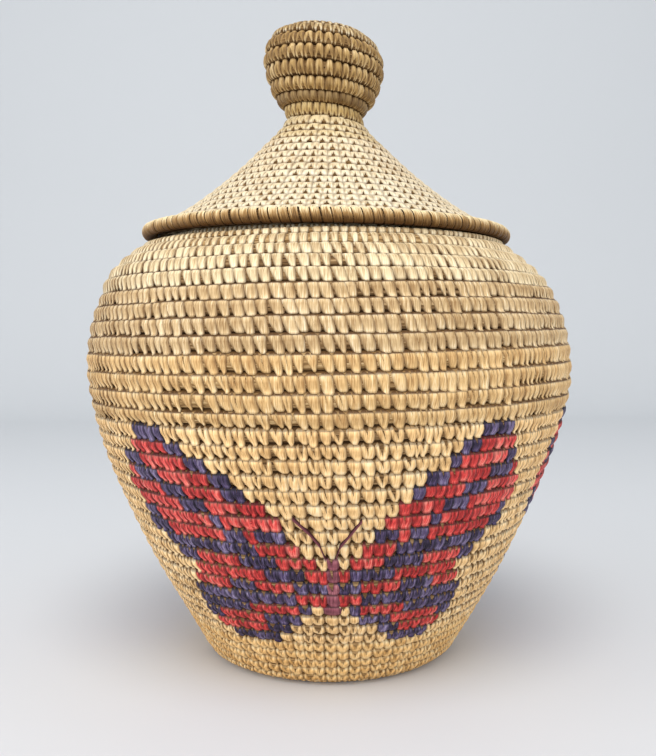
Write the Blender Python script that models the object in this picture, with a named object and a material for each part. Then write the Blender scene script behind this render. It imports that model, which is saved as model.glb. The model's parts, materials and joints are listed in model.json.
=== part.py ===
"""Coiled grass basket with a hollow-knobbed lid.

The basket is one grass bundle coiled from the middle of the base up to the rim, and the lid is a second
bundle coiled from the top of the knob down to the brim. Each node is a stretch of one of those coils. A
stretch follows a true spiral: it climbs one course in each turn, on the profile of its wall.
Metres, +Z up, origin on the floor under the middle of the basket.
"""
import math

import bmesh
import bpy
import numpy as np

# Clearances
SEAT_GAP = 0.0003
COLLAR_CLEARANCE = 0.0030

# The basket's outside, as radius and height
FOOT_RADIUS = 0.0568
FOOT_ROUND = 0.0080
LOW_WALL_RADIUS = 0.0848
LOW_WALL_HEIGHT = 0.0510
UPPER_WALL_RADIUS = 0.1053
UPPER_WALL_HEIGHT = 0.1022
BELLY_RADIUS = 0.1102
BELLY_HEIGHT = 0.1340
SHOULDER_RADIUS = 0.1019
SHOULDER_RISE = 0.0310
RIM_RADIUS = 0.0805
RIM_RISE = 0.0526
SHOULDER_HEIGHT = BELLY_HEIGHT + SHOULDER_RISE
RIM_HEIGHT = BELLY_HEIGHT + RIM_RISE

# The basket's coil: wall, height of a course in each place, and depth of the valley between courses
WALL = 0.0055
BASE_COURSE = 0.0060
FOOT_COURSE = 0.0046
LOW_WALL_COURSE = 0.0062
UPPER_WALL_COURSE = 0.0058
BELLY_COURSE = 0.0074
SHOULDER_COURSE = 0.0061
RIM_COURSE = 0.0072
VALLEY_DEPTH = 0.0013
COURSE_LAND = 0.42
START_RADIUS = 0.0060

# The lid's outside, as radius and height above the middle of the brim
KNOB_TOP_RISE = 0.0968
KNOB_EDGE_RADIUS = 0.0218
KNOB_EDGE_RISE = 0.0928
KNOB_RADIUS = 0.0277
KNOB_RISE = 0.0818
KNOB_UNDER_RADIUS = 0.0238
KNOB_UNDER_RISE = 0.0658
NECK_RADIUS = 0.0176
NECK_RISE = 0.0558
HIGH_CONE_RADIUS = 0.0322
HIGH_CONE_RISE = 0.0380
LOW_CONE_RADIUS = 0.0602
LOW_CONE_RISE = 0.0139
CONE_EDGE_SLOPE = math.radians(33)

# The lid's coil
LID_WALL = 0.0050
KNOB_COURSE = 0.0068
NECK_COURSE = 0.0048
CONE_COURSE = 0.0053
LID_VALLEY_DEPTH = 0.0010
KNOB_START_RADIUS = 0.0050

# The brim's bundle and the collar inside the mouth
BRIM_OVERHANG = 0.0051
BRIM_RADIUS = RIM_RADIUS + BRIM_OVERHANG
BRIM_THICKNESS = 0.0066
COLLAR_DEPTH = 0.0110
COLLAR_WALL = 0.0045
COLLAR_COURSES = 2

# Heights at which one stretch of the basket's coil ends and the next begins
FOOT_TOP = 0.0080
LOWER_WALL_TOP = 0.0220
FIGURE_LOWER_TOP = 0.0470
FIGURE_MIDDLE_TOP = 0.0680
FIGURE_UPPER_TOP = 0.1130
BELLY_TOP_RISE = 0.0070
SHOULDER_TOP_RISE = 0.0320
BELLY_TOP = BELLY_HEIGHT + BELLY_TOP_RISE
SHOULDER_TOP = BELLY_HEIGHT + SHOULDER_TOP_RISE
RIM_TURNS = 2

# The same for the lid, as heights above the middle of the brim
KNOB_TOP_END = 0.0880
KNOB_SIDE_END = 0.0680
UPPER_CONE_END = 0.0240
EDGE_TURNS = 2

# Facets
TURN_STEPS = 24
KNOB_STEPS = 14
BRIM_SIDES = 8
CURVE_STEPS = 24
TIP_STEPS = 3

# Where the coils start, round the axis from +X
COIL_START = math.pi / 2

# Colours of the dry grass
GRASS = (0.74, 0.55, 0.34)
BASE_GRASS = (0.62, 0.44, 0.26)
FIGURE_GRASS = (0.66, 0.42, 0.30)
BRIM_GRASS = (0.66, 0.47, 0.26)
START_GRASS = (0.55, 0.38, 0.20)
GRASS_ROUGHNESS = 0.62


def clear_scene():
    for thing in list(bpy.data.objects):
        bpy.data.objects.remove(thing, do_unlink=True)


def grass_material(name, colour):
    material = bpy.data.materials.new(name)
    material.use_nodes = True
    shader = material.node_tree.nodes["Principled BSDF"]
    shader.inputs["Base Color"].default_value = (*colour, 1.0)
    shader.inputs["Roughness"].default_value = GRASS_ROUGHNESS
    shader.inputs["Metallic"].default_value = 0.0
    return material


def smooth_curve(points):
    """A centripetal Catmull-Rom curve through (radius, height) points."""
    pts = [np.array(p, float) for p in points]
    pts = [2 * pts[0] - pts[1]] + pts + [2 * pts[-1] - pts[-2]]
    curve = [pts[1]]
    for a, b, c, d in zip(pts, pts[1:], pts[2:], pts[3:]):
        ta = 0.0
        tb = ta + math.sqrt(np.linalg.norm(b - a))
        tc = tb + math.sqrt(np.linalg.norm(c - b))
        td = tc + math.sqrt(np.linalg.norm(d - c))
        for step in range(1, CURVE_STEPS + 1):
            t = tb + (tc - tb) * step / CURVE_STEPS
            ab = ((tb - t) * a + (t - ta) * b) / (tb - ta)
            bc = ((tc - t) * b + (t - tb) * c) / (tc - tb)
            cd = ((td - t) * c + (t - tc) * d) / (td - tc)
            abc = ((tc - t) * ab + (t - ta) * bc) / (tc - ta)
            bcd = ((td - t) * bc + (t - tb) * cd) / (td - tb)
            curve.append(((tc - t) * abc + (t - tb) * bcd) / (tc - tb))
    return np.array(curve)


def rounded_foot(wall):
    """The flat base, a rounded foot, and the wall curve, as one profile from the middle outwards."""
    rise = wall[1] - wall[0]
    turn = math.atan2(rise[1], rise[0])
    reach = FOOT_ROUND * math.tan(turn / 2)
    centre = np.array([FOOT_RADIUS - reach, FOOT_ROUND])
    angles = np.linspace(0.0, turn, CURVE_STEPS)
    arc = [centre + FOOT_ROUND * np.array([math.sin(a), -math.cos(a)]) for a in angles]
    flat = [np.array([r, 0.0]) for r in np.linspace(0.0, centre[0], CURVE_STEPS)[:-1]]
    upper = [p for p in wall if p[1] > arc[-1][1] + 0.001]
    return np.array(flat + arc + upper)


class Profile:
    """An outer face measured by its length from the axis, with the outward side on one hand."""

    def __init__(self, points, hand):
        steps = np.hypot(*np.diff(points, axis=0).T)
        self.length = np.concatenate([[0.0], np.cumsum(steps)])
        self.points = points
        self.hand = hand
        tangents = np.gradient(points, self.length, axis=0)
        self.tangents = tangents / np.linalg.norm(tangents, axis=1)[:, None]

    def place(self, s, depth):
        """Radius and height at a length along the face, and a depth under it."""
        p = [np.interp(s, self.length, self.points[:, k]) for k in (0, 1)]
        t = [np.interp(s, self.length, self.tangents[:, k]) for k in (0, 1)]
        size = math.hypot(*t)
        normal = (self.hand * t[1] / size, -self.hand * t[0] / size)
        return p[0] - depth * normal[0], p[1] - depth * normal[1]

    def length_at(self, height):
        """The first length at which the face reaches a height, up the basket or down the lid."""
        reached = self.hand * (self.points[:, 1] - height) >= 0
        return float(self.length[np.argmax(reached)])

    def end(self):
        return self.length[-1]


class Coil:
    """A spiral on a profile: the place of each course by its count of turns from the start."""

    def __init__(self, profile, start, courses):
        self.profile = profile
        self.floor = start
        fine = np.linspace(start, profile.end(), 2000)
        height = np.interp(fine, [c[0] for c in courses], [c[1] for c in courses])
        turns = np.concatenate([[0.0], np.cumsum(np.diff(fine) / height[:-1])])
        self.turns = max(3, round(turns[-1]))
        self.fine = fine
        self.count = turns * self.turns / turns[-1]

    def edge(self, turn):
        """Length along the profile of a course's far edge. A course at turn t lies from t - 1 to t.

        Before the first turn and after the last it stays at the end of the profile, so the coil tapers.
        """
        return float(np.interp(turn, self.count, self.fine))

    def turn_at(self, s):
        """The whole turn that ends nearest to a length along the profile."""
        return int(round(float(np.interp(s, self.fine, self.count)) + 0.5))


def polar(radius, height, turn):
    angle = 2 * math.pi * turn + COIL_START
    return (radius * math.cos(angle), radius * math.sin(angle), height)


def new_object(name, bm, material):
    bmesh.ops.recalc_face_normals(bm, faces=bm.faces)
    mesh = bpy.data.meshes.new(name)
    bm.to_mesh(mesh)
    bm.free()
    mesh.materials.append(material)
    mesh.shade_smooth()
    mesh.set_sharp_from_angle(angle=math.radians(70))
    thing = bpy.data.objects.new(name, mesh)
    bpy.context.scene.collection.objects.link(thing)
    return thing


def coil_stretch(name, coil, first, last, size, material, around=TURN_STEPS):
    """A stretch of the coil from one whole turn to another, each course sewn to the next along a valley.

    size is the wall, the depth of the valley, and the share of a course that is pressed flat outside.
    """
    wall, valley, land = size
    profile = coil.profile
    bm = bmesh.new()
    steps = [first + k / around for k in range((last - first) * around + 1)]
    if first == 0:
        steps = steps[TIP_STEPS:]
    if last == coil.turns + 1:
        steps = steps[:-TIP_STEPS]
    final = len(steps) - 1

    def corner(s, depth, k):
        """A point of the coil at one step. The two ends stand half a gap back from their neighbours."""
        radius, height = profile.place(s, depth)
        back = {0: 1, final: -1}.get(k, 0) * SEAT_GAP / (4 * math.pi * radius)
        return bm.verts.new(polar(radius, height, steps[k] + back))

    def edge_pair(s, k):
        return [corner(s, valley, k), corner(s, wall, k)]

    lows, lands = [], []
    for k, turn in enumerate(steps):
        low, high = coil.edge(turn - 1), coil.edge(turn)
        seat = SEAT_GAP / 2 if k <= around else 0.0
        lows.append(edge_pair(low + seat, k))
        middle, flat = (low + high) / 2, land * (high - low) / 2
        lands.append([corner(middle - flat, 0.0, k), corner(middle + flat, 0.0, k)])
    highs = lows[around:]
    for k in range(final + 1 - around, final + 1):
        highs.append(edge_pair(coil.edge(steps[k]) - SEAT_GAP / 2, k))

    def section(k):
        """The corners of the coil at one step, round from its lower outer edge."""
        return [lows[k][0], *lands[k], highs[k][0], highs[k][1], lows[k][1]]

    top_side, bottom_side = 3, 5
    for k in range(final):
        here, there = section(k), section(k + 1)
        for side, corner_here in enumerate(here):
            sewn_above = side == top_side and k < final - around
            sewn_below = side == bottom_side and k >= around
            if not sewn_above and not sewn_below:
                onward = (side + 1) % len(here)
                bm.faces.new([corner_here, here[onward], there[onward], there[side]])
    bm.faces.new(section(0))
    bm.faces.new(section(final))
    return new_object(name, bm, material)


def turned_faces(bm, outline, around, closed):
    """Turns (radius, height) points round the axis. Returns the rings of corners."""
    rings = [[bm.verts.new(polar(r, z, k / around)) for k in range(around)] for r, z in outline]
    for a, b in zip(rings, rings[1:] + rings[:1] if closed else rings[1:]):
        for k in range(around):
            onward = (k + 1) % around
            bm.faces.new([a[k], a[onward], b[onward], b[k]])
    return rings


def start_knot(name, coil, size, material, around=TURN_STEPS):
    """The small disc that a coil starts from, pressed flat outside like a course."""
    wall, valley, land = size
    edge = coil.floor - SEAT_GAP / 2
    flat = edge - valley
    face = [(flat, 0.0), (edge, valley), (edge, wall)]
    bm = bmesh.new()
    rings = turned_faces(bm, [coil.profile.place(s, depth) for s, depth in face], around, False)
    bm.faces.new(rings[0])
    bm.faces.new(rings[-1])
    return new_object(name, bm, material)


def turned_ring(name, outline, material):
    bm = bmesh.new()
    turned_faces(bm, outline, TURN_STEPS, True)
    return new_object(name, bm, material)


def basket_profile():
    wall = smooth_curve([
        (FOOT_RADIUS, 0.0),
        (LOW_WALL_RADIUS, LOW_WALL_HEIGHT),
        (UPPER_WALL_RADIUS, UPPER_WALL_HEIGHT),
        (BELLY_RADIUS, BELLY_HEIGHT),
        (SHOULDER_RADIUS, SHOULDER_HEIGHT),
        (RIM_RADIUS, RIM_HEIGHT),
    ])
    return Profile(rounded_foot(wall), 1)


def basket_coil(profile):
    foot = profile.length_at(FOOT_TOP)
    return Coil(profile, START_RADIUS, [
        (START_RADIUS, BASE_COURSE),
        (foot, FOOT_COURSE),
        (profile.length_at(LOW_WALL_HEIGHT), LOW_WALL_COURSE),
        (profile.length_at(UPPER_WALL_HEIGHT), UPPER_WALL_COURSE),
        (profile.length_at(BELLY_HEIGHT), BELLY_COURSE),
        (profile.length_at(SHOULDER_HEIGHT), SHOULDER_COURSE),
        (profile.end(), RIM_COURSE),
    ])


def make_basket(profile, coil):
    base = grass_material("base_grass", BASE_GRASS)
    plain = grass_material("wall_grass", GRASS)
    figured = grass_material("figure_grass", FIGURE_GRASS)
    start = grass_material("start_grass", START_GRASS)
    size = (WALL, VALLEY_DEPTH, COURSE_LAND)
    start_knot("base_start", coil, size, start)
    flat_end = coil.turn_at(FOOT_RADIUS - FOOT_ROUND)
    rim_start = coil.turns + 1 - RIM_TURNS
    stretches = [
        ("base_coil", flat_end, base),
        ("foot_coil", coil.turn_at(profile.length_at(FOOT_TOP)), base),
        ("lower_wall_coil", coil.turn_at(profile.length_at(LOWER_WALL_TOP)), plain),
        ("figure_lower_coil", coil.turn_at(profile.length_at(FIGURE_LOWER_TOP)), figured),
        ("figure_middle_coil", coil.turn_at(profile.length_at(FIGURE_MIDDLE_TOP)), figured),
        ("figure_upper_coil", coil.turn_at(profile.length_at(FIGURE_UPPER_TOP)), figured),
        ("belly_coil", coil.turn_at(profile.length_at(BELLY_TOP)), plain),
        ("shoulder_coil", coil.turn_at(profile.length_at(SHOULDER_TOP)), plain),
        ("mouth_coil", rim_start, plain),
        ("rim_coil", coil.turns + 1, plain),
    ]
    turn = 0
    for name, until, material in stretches:
        until = max(until, turn + 1)
        coil_stretch(name, coil, turn, until, size, material)
        turn = until


def brim_height(profile):
    """Height of the brim's middle: its bundle rests on the shoulder, and the cone stays above the rim."""
    middle = BRIM_RADIUS - BRIM_THICKNESS / 2
    reach = BRIM_THICKNESS / 2 + SEAT_GAP
    height = RIM_HEIGHT + SEAT_GAP + math.cos(CONE_EDGE_SLOPE) * LID_WALL / 2
    for radius, level in profile.points:
        across = abs(radius - middle)
        if across < reach and level > BELLY_HEIGHT:
            height = max(height, level + math.sqrt(reach ** 2 - across ** 2))
    return height


def lid_profile(brim):
    slope = (math.cos(CONE_EDGE_SLOPE), math.sin(CONE_EDGE_SLOPE))
    inset = (BRIM_THICKNESS / 2 + SEAT_GAP) / slope[0]
    edge_radius = BRIM_RADIUS - BRIM_THICKNESS / 2 - inset + slope[1] * LID_WALL / 2
    edge_rise = slope[0] * LID_WALL / 2
    face = smooth_curve([
        (0.0, brim + KNOB_TOP_RISE),
        (KNOB_EDGE_RADIUS, brim + KNOB_EDGE_RISE),
        (KNOB_RADIUS, brim + KNOB_RISE),
        (KNOB_UNDER_RADIUS, brim + KNOB_UNDER_RISE),
        (NECK_RADIUS, brim + NECK_RISE),
        (HIGH_CONE_RADIUS, brim + HIGH_CONE_RISE),
        (LOW_CONE_RADIUS, brim + LOW_CONE_RISE),
        (edge_radius, brim + edge_rise),
    ])
    return Profile(face, -1)


def lid_coil(profile, brim):
    return Coil(profile, KNOB_START_RADIUS, [
        (KNOB_START_RADIUS, KNOB_COURSE),
        (profile.length_at(brim + KNOB_UNDER_RISE), KNOB_COURSE),
        (profile.length_at(brim + NECK_RISE), NECK_COURSE),
        (profile.length_at(brim + HIGH_CONE_RISE), CONE_COURSE),
        (profile.end(), CONE_COURSE),
    ])


def make_lid(profile, coil, brim, mouth):
    plain = grass_material("lid_grass", GRASS)
    wrapped = grass_material("brim_grass", BRIM_GRASS)
    start = grass_material("knob_start_grass", START_GRASS)
    size = (LID_WALL, LID_VALLEY_DEPTH, COURSE_LAND)
    start_knot("knob_start", coil, size, start, KNOB_STEPS)
    stretches = [
        ("knob_top_coil", coil.turn_at(profile.length_at(brim + KNOB_TOP_END)), KNOB_STEPS),
        ("knob_side_coil", coil.turn_at(profile.length_at(brim + KNOB_SIDE_END)), KNOB_STEPS),
        ("neck_coil", coil.turn_at(profile.length_at(brim + NECK_RISE)), KNOB_STEPS),
        ("upper_cone_coil", coil.turn_at(profile.length_at(brim + UPPER_CONE_END)), TURN_STEPS),
        ("lower_cone_coil", coil.turns + 1 - EDGE_TURNS, TURN_STEPS),
        ("cone_edge_coil", coil.turns + 1, TURN_STEPS),
    ]
    turn = 0
    for name, until, around in stretches:
        until = max(until, turn + 1)
        coil_stretch(name, coil, turn, until, size, plain, around)
        turn = until
    make_brim(brim, wrapped)
    make_collar(profile, mouth, plain)


def make_brim(brim, material):
    """The thick bundle: a polygon drawn round its circle, so that its flats lie at the real thickness."""
    middle = BRIM_RADIUS - BRIM_THICKNESS / 2
    corner = BRIM_THICKNESS / 2 / math.cos(math.pi / BRIM_SIDES)
    angles = [2 * math.pi * (k + 0.5) / BRIM_SIDES for k in range(BRIM_SIDES)]
    outline = [(middle + corner * math.cos(a), brim + corner * math.sin(a)) for a in angles]
    turned_ring("brim_coil", outline, material)


def make_collar(profile, mouth, material):
    """Two courses that hang inside the mouth, seated under the cone."""
    outer = mouth - COLLAR_CLEARANCE
    inner = outer - COLLAR_WALL
    under = [profile.place(s, LID_WALL + SEAT_GAP) for s in profile.length]
    under = sorted(p for p in under if p[0] > KNOB_RADIUS)

    def seat(radius):
        return float(np.interp(radius, [p[0] for p in under], [p[1] for p in under]))

    course = COLLAR_DEPTH / COLLAR_COURSES
    low = seat(outer) - COLLAR_DEPTH
    outline = [(outer - LID_VALLEY_DEPTH, low)]
    for k in range(COLLAR_COURSES):
        outline.append((outer, low + (k + 0.5) * course))
        outline.append((outer - LID_VALLEY_DEPTH, low + (k + 1) * course))
    outline.append((inner + LID_VALLEY_DEPTH, seat(inner + LID_VALLEY_DEPTH)))
    for k in reversed(range(COLLAR_COURSES)):
        outline.append((inner, low + (k + 0.5) * course))
        outline.append((inner + LID_VALLEY_DEPTH, low + k * course))
    turned_ring("collar_coil", outline, material)


def main():
    clear_scene()
    profile = basket_profile()
    make_basket(profile, basket_coil(profile))
    brim = brim_height(profile)
    mouth = profile.place(profile.end(), WALL)[0]
    lid = lid_profile(brim)
    make_lid(lid, lid_coil(lid, brim), brim, mouth)
    print("brim height", round(brim * 1000, 2), "mouth radius", round(mouth * 1000, 2))


main()
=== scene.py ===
# %% [markdown]
# # A coiled grass basket with three butterflies and a knobbed lid
#
# A coiled basket is one long bundle of dry grass, wound in a spiral. A flat strand wraps the bundle and is
# drawn through the course before it, so each stitch holds the new course to the last one. This basket is
# wound from the middle of its base up to the rim, and its lid from the top of the knob down to the brim.
#
# The lesson follows the maker. First comes the line of the wall, then the coil on that line, then the
# bundle, and last the stitches, some of them dyed. Everything is in metres.

import json
import math
from collections import namedtuple
from functools import partialmethod

import bpy
import numpy as np
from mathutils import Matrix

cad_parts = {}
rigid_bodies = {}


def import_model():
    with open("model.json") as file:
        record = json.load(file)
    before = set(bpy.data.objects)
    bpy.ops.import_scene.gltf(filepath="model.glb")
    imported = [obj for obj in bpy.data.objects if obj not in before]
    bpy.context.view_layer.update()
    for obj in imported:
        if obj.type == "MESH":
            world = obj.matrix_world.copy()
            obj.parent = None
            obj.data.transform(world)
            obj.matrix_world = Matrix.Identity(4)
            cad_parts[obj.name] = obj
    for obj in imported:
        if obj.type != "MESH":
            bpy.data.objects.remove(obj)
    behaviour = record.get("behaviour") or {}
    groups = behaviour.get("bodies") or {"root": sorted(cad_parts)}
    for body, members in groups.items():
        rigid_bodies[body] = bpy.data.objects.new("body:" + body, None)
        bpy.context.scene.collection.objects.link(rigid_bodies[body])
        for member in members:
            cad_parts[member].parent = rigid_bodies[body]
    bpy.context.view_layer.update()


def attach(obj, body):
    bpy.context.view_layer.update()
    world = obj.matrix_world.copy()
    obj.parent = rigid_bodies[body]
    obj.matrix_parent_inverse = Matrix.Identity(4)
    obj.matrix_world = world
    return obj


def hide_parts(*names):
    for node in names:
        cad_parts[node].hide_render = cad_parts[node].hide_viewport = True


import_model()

# %% [markdown]
# ## The line of the wall
#
# Both walls are turned shapes, so one side view of the outer face is enough. It is a smooth curve through
# a few points, each a radius and a height. The same numbers made the solids in the frame, so all that is
# built here lies on them.

# %% Sizes of the basket and the lid
SEAT_GAP = 0.0003
WALL, START_RADIUS = 0.0055, 0.0060
FOOT_RADIUS, FOOT_ROUND = 0.0568, 0.0080
LOW_HEIGHT, MIDDLE_HEIGHT, BELLY_HEIGHT = 0.0510, 0.1022, 0.1340
SHOULDER_HEIGHT = BELLY_HEIGHT + 0.0310
RIM_RADIUS, RIM_HEIGHT = 0.0805, BELLY_HEIGHT + 0.0526
BASKET_LINE = [(FOOT_RADIUS, 0.0), (0.0848, LOW_HEIGHT), (0.1053, MIDDLE_HEIGHT), (0.1102, BELLY_HEIGHT),
               (0.1019, SHOULDER_HEIGHT), (RIM_RADIUS, RIM_HEIGHT)]
LID_WALL, KNOB_START_RADIUS = 0.0050, 0.0050
BRIM_RADIUS, BRIM_THICKNESS = RIM_RADIUS + 0.0051, 0.0066
KNOB_RISE, WAIST_RISE, CONE_RISE = 0.0658, 0.0558, 0.0380
LID_LINE = [(0.0, 0.0968), (0.0218, 0.0928), (0.0277, 0.0818), (0.0238, KNOB_RISE), (0.0176, WAIST_RISE),
            (0.0322, CONE_RISE), (0.0602, 0.0139)]
CONE_EDGE_SLOPE = math.radians(33)
COLLAR_CLEARANCE, COLLAR_DEPTH, COLLAR_WALL = 0.0030, 0.0110, 0.0045
CURVE_STEPS, FOOT_JOIN = 24, 0.001
FULL_TURN = 2 * math.pi


# %% A smooth line measured by its length
def smooth_curve(points):
    """A centripetal Catmull-Rom curve through (radius, height) points."""
    pts = [np.array(p, float) for p in points]
    pts = [2 * pts[0] - pts[1]] + pts + [2 * pts[-1] - pts[-2]]
    curve = [pts[1]]
    for a, b, c, d in zip(pts, pts[1:], pts[2:], pts[3:]):
        tb = math.sqrt(np.linalg.norm(b - a))
        tc = tb + math.sqrt(np.linalg.norm(c - b))
        td = tc + math.sqrt(np.linalg.norm(d - c))
        for step in range(1, CURVE_STEPS + 1):
            t = tb + (tc - tb) * step / CURVE_STEPS
            ab = ((tb - t) * a + t * b) / tb
            bc = ((tc - t) * b + (t - tb) * c) / (tc - tb)
            cd = ((td - t) * c + (t - tc) * d) / (td - tc)
            abc = ((tc - t) * ab + t * bc) / tc
            bcd = ((td - t) * bc + (t - tb) * cd) / (td - tb)
            curve.append(((tc - t) * abc + (t - tb) * bcd) / (tc - tb))
    return np.array(curve)


def rounded_foot(wall):
    """The flat base, a rounded foot, and the wall, as one line from the middle outwards."""
    rise = wall[1] - wall[0]
    turn = math.atan2(rise[1], rise[0])
    centre = np.array([FOOT_RADIUS - FOOT_ROUND * math.tan(turn / 2), FOOT_ROUND])
    arc = [centre + FOOT_ROUND * np.array([math.sin(a), -math.cos(a)])
           for a in np.linspace(0.0, turn, CURVE_STEPS)]
    flat = [np.array([r, 0.0]) for r in np.linspace(0.0, centre[0], CURVE_STEPS)[:-1]]
    return np.array(flat + arc + [p for p in wall if p[1] > arc[-1][1] + FOOT_JOIN])


class Profile:
    """An outer face in side view. hand is 1 where it is walked upwards, and -1 where downwards."""

    def __init__(self, points, hand):
        self.points = np.array(points, float)
        steps = np.hypot(*np.diff(self.points, axis=0).T)
        self.length = np.concatenate([[0.0], np.cumsum(steps)])
        self.end = float(self.length[-1])
        self.hand = hand
        tangents = np.gradient(self.points, self.length, axis=0)
        self.tangents = tangents / np.linalg.norm(tangents, axis=1)[:, None]

    def place(self, s, depth=0.0):
        """Radius and height at a length along the face and a depth under it."""
        r, z = [np.interp(s, self.length, self.points[:, k]) for k in (0, 1)]
        tr, tz = [np.interp(s, self.length, self.tangents[:, k]) for k in (0, 1)]
        size = self.hand * np.hypot(tr, tz)
        return r - depth * tz / size, z + depth * tr / size

    def length_at(self, height):
        reached = self.hand * (self.points[:, 1] - height) >= 0
        return float(self.length[np.argmax(reached)])


basket_line = Profile(rounded_foot(smooth_curve(BASKET_LINE)), 1)


def brim_height():
    """The brim's bundle rests on the shoulder, and the cone above it stays clear of the rim."""
    middle, reach = BRIM_RADIUS - BRIM_THICKNESS / 2, BRIM_THICKNESS / 2 + SEAT_GAP
    height = RIM_HEIGHT + SEAT_GAP + math.cos(CONE_EDGE_SLOPE) * LID_WALL / 2
    for radius, level in basket_line.points:
        if abs(radius - middle) < reach and level > BELLY_HEIGHT:
            height = max(height, level + math.sqrt(reach ** 2 - (radius - middle) ** 2))
    return height


BRIM = brim_height()
inset = (BRIM_THICKNESS / 2 + SEAT_GAP) / math.cos(CONE_EDGE_SLOPE)
edge_radius = BRIM_RADIUS - BRIM_THICKNESS / 2 - inset + math.sin(CONE_EDGE_SLOPE) * LID_WALL / 2
lid_points = [(r, BRIM + rise) for r, rise in LID_LINE]
lid_points.append((edge_radius, BRIM + math.cos(CONE_EDGE_SLOPE) * LID_WALL / 2))
lid_line = Profile(smooth_curve(lid_points), -1)
print("wall line", round(basket_line.end, 4), "lid line", round(lid_line.end, 4), "brim at", round(BRIM, 4))

# %% [markdown]
# ## The coil
#
# A place on the coil is a count of turns. The coil climbs one course in each turn, so the course at turn t
# lies between edge(t - 1) and edge(t). Grass is never even, so each edge wanders a little. As both courses
# that meet there use the same edge, they still touch.

# %% The coil and its small wander
FINE_COUNT, FINE_STEP = 2000, 0.002
LEAST_RADIUS = 0.002
# turns over which the wander grows from nothing
WANDER_IN = 1.5
# share of the wander, the metres in which it goes once to and fro, and what is added to the seed
WANDERS = [(0.65, 0.045, 0), (0.35, 0.013, 1)]


def wave(run, period, seed):
    """A smooth random wander from -1 to 1 along a run of metres."""
    knots = np.random.default_rng(seed).uniform(-1, 1, int(run[-1] / period) + 3)
    place = run / period
    low = np.floor(place).astype(int)
    part = place - low
    part = part * part * (3 - 2 * part)
    return knots[low] * (1 - part) + knots[low + 1] * part


class Coil:
    """A spiral on a profile. courses are pairs of a height on the wall and how high a course is there."""

    def __init__(self, profile, start, first, courses, last, wander, seed):
        self.profile = profile
        courses = [(profile.length_at(height), size) for height, size in courses]
        courses = [(start, first)] + courses + [(profile.end, last)]
        fine = np.linspace(start, profile.end, FINE_COUNT)
        height = np.interp(fine, [c[0] for c in courses], [c[1] for c in courses])
        turns = np.concatenate([[0.0], np.cumsum(np.diff(fine) / height[:-1])])
        self.turns = max(3, round(turns[-1]))
        self.fine = fine
        self.count = turns * self.turns / turns[-1]
        self.steps = np.arange(-1.0, self.turns + 1.5, FINE_STEP)
        run = np.cumsum(self.girth(self.steps)) * FINE_STEP
        self.sway = wander * sum(share * wave(run, period, seed + more) for share, period, more in WANDERS)
        self.sway *= np.clip(self.steps / WANDER_IN, 0, 1) * np.clip(self.turns - self.steps, 0, 1)

    def plain_edge(self, turn):
        return np.interp(turn, self.count, self.fine)

    def edge(self, turn):
        """Length along the profile of a course's far edge, wander included."""
        return self.plain_edge(turn) + np.interp(turn, self.steps, self.sway)

    def middle(self, turn):
        return (self.plain_edge(turn) + self.plain_edge(np.asarray(turn) - 1)) / 2

    def girth(self, turn):
        """Length of one turn round the axis."""
        return FULL_TURN * np.maximum(self.profile.place(self.middle(turn))[0], LEAST_RADIUS)

    def turn_at(self, s):
        return int(round(float(np.interp(s, self.fine, self.count)) + 0.5))


basket_coil = Coil(basket_line, START_RADIUS, first=0.0060, last=0.0072, wander=0.0005, seed=11, courses=[
    (FOOT_ROUND, 0.0046), (LOW_HEIGHT, 0.0062), (MIDDLE_HEIGHT, 0.0058), (BELLY_HEIGHT, 0.0074),
    (SHOULDER_HEIGHT, 0.0061)])
lid_coil = Coil(lid_line, KNOB_START_RADIUS, first=0.0068, last=0.0053, wander=0.0004, seed=23, courses=[
    (BRIM + KNOB_RISE, 0.0068), (BRIM + WAIST_RISE, 0.0048), (BRIM + CONE_RISE, 0.0053)])
print("turns of the coil: basket", basket_coil.turns, "lid", lid_coil.turns)

# %% [markdown]
# ## Stretches
#
# The frame cuts each coil into stretches, each a solid of its own. The cuts are repeated here, so that the
# bundle and the stitches of a stretch move with it and can be told apart.


# %% Where each stretch of the coil begins and ends
def stretches(coil, ends, last_two):
    """First and last turn by name, from where each stretch ends. The last two share the coil's last turns."""
    ends = [(name, coil.turn_at(length)) for name, length in ends]
    found, turn = {}, 0
    for name, until in ends + list(zip(last_two, (coil.turns - 1, coil.turns + 1))):
        found[name] = (turn, max(until, turn + 1))
        turn = found[name][1]
    return found


BASKET_STRETCHES = stretches(basket_coil, [("base_coil", FOOT_RADIUS - FOOT_ROUND)] + [
    (name, basket_line.length_at(height)) for name, height in (
        ("foot_coil", 0.0080), ("lower_wall_coil", 0.0220), ("figure_lower_coil", 0.0470),
        ("figure_middle_coil", 0.0680), ("figure_upper_coil", 0.1130),
        ("belly_coil", BELLY_HEIGHT + 0.0070), ("shoulder_coil", BELLY_HEIGHT + 0.0320))],
    ("mouth_coil", "rim_coil"))
LID_STRETCHES = stretches(lid_coil, [
    (name, lid_line.length_at(BRIM + rise)) for name, rise in (
        ("knob_top_coil", 0.0880), ("knob_side_coil", 0.0680), ("neck_coil", 0.0558),
        ("upper_cone_coil", 0.0240))], ("lower_cone_coil", "cone_edge_coil"))
for name, turns in {**BASKET_STRETCHES, **LID_STRETCHES}.items():
    print(f"{name:20s} turns {turns[0]} to {turns[1]}")

# %% [markdown]
# ## Wires
#
# Node trees are easier to read as sums. A Wire stands for a value inside a tree, and adding or multiplying
# two of them adds a Math node. New nodes go into the tree that lies on the bench. The same helper builds the
# shaders further down.


# %% Helpers for node trees
# the tree that new nodes go into
bench = {}
# a node's kind is its type without the family
FAMILIES = ("GeometryNode", "ShaderNode", "FunctionNode")


def link(wire, socket):
    bench["tree"].links.new(wire.socket, socket)


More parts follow.
